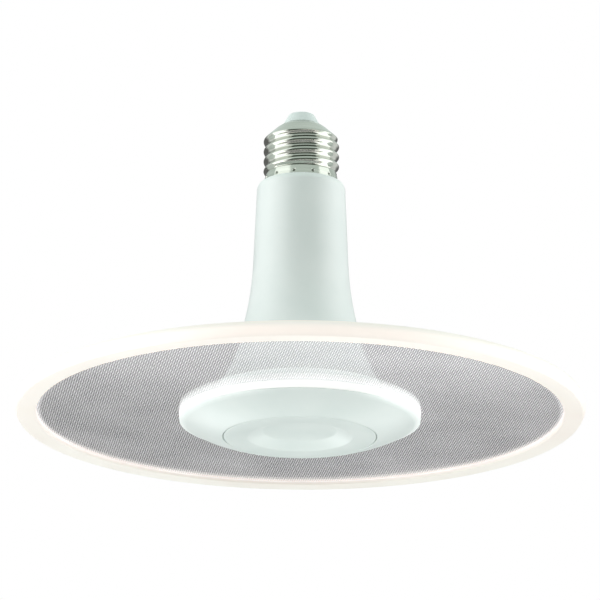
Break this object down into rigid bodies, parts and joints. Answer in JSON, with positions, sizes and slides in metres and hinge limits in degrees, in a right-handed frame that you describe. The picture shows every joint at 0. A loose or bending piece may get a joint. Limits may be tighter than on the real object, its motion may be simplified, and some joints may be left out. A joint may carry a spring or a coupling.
{
  "type": "led bulb",
  "caption": "Screw-cap lamp: a long white neck over a see-through edge-lit disc with a glowing opal rim and a shallow domed cover below.",
  "frame": {"origin": "middle of the flat ring of the centre plug, the lamp's lowest face", "axes": "+Z along the lamp's axis, from the domed cover towards the screw cap; the four inner leads turn to the +X side"},
  "size_m": [0.195, 0.195, 0.1166],
  "materials": {
    "nickel": "rolled nickel-plated brass",
    "cap_insulator": "pale moulded insulator",
    "white_plastic": "satin white with a cool tint",
    "plug_plastic": "satin white, a little greyer",
    "light_guide": "clear acrylic with a printed dot pattern",
    "opal_edge": "opal, warm white",
    "opal_clamp": "opal, lit from inside",
    "screw_steel": "zinc-plated",
    "aluminium": "die-cast, as cast",
    "board_white": "white solder mask",
    "led_phosphor": "yellow phosphor in a white package",
    "board_green": "green solder mask",
    "ferrite": "dark ferrite",
    "black_plastic": "moulded epoxy",
    "yellow_tape": "polyester tape over the winding",
    "can_sleeve": "shrink sleeve",
    "film_yellow": "moulded box",
    "resistor_body": "coated ceramic",
    "lead_red": "insulated wire",
    "lead_black": "insulated wire"
  },
  "bodies": {
    "root": {"screw_shell": "nickel", "cap_insulator": "cap_insulator", "centre_contact": "nickel", "neck_housing": "white_plastic", "light_guide": "light_guide", "edge_ring": "opal_edge", "clamp_ring": "opal_clamp", "lower_cover": "white_plastic", "centre_plug": "plug_plastic", "cover_screws": "screw_steel", "heat_spreader": "aluminium", "spreader_screws": "screw_steel", "led_board": "board_white", "leds": "led_phosphor", "driver_board": "board_green", "transformer_core": "ferrite", "transformer_bobbin": "black_plastic", "transformer_winding": "yellow_tape", "input_capacitor": "can_sleeve", "output_capacitor": "can_sleeve", "filter_choke": "ferrite", "film_capacitor": "film_yellow", "bridge_rectifier": "black_plastic", "driver_chip": "black_plastic", "output_diode": "black_plastic", "fuse_resistor": "resistor_body", "live_lead": "lead_red", "neutral_lead": "lead_black", "led_lead_positive": "lead_red", "led_lead_negative": "lead_black"}
  },
  "joints": []
}
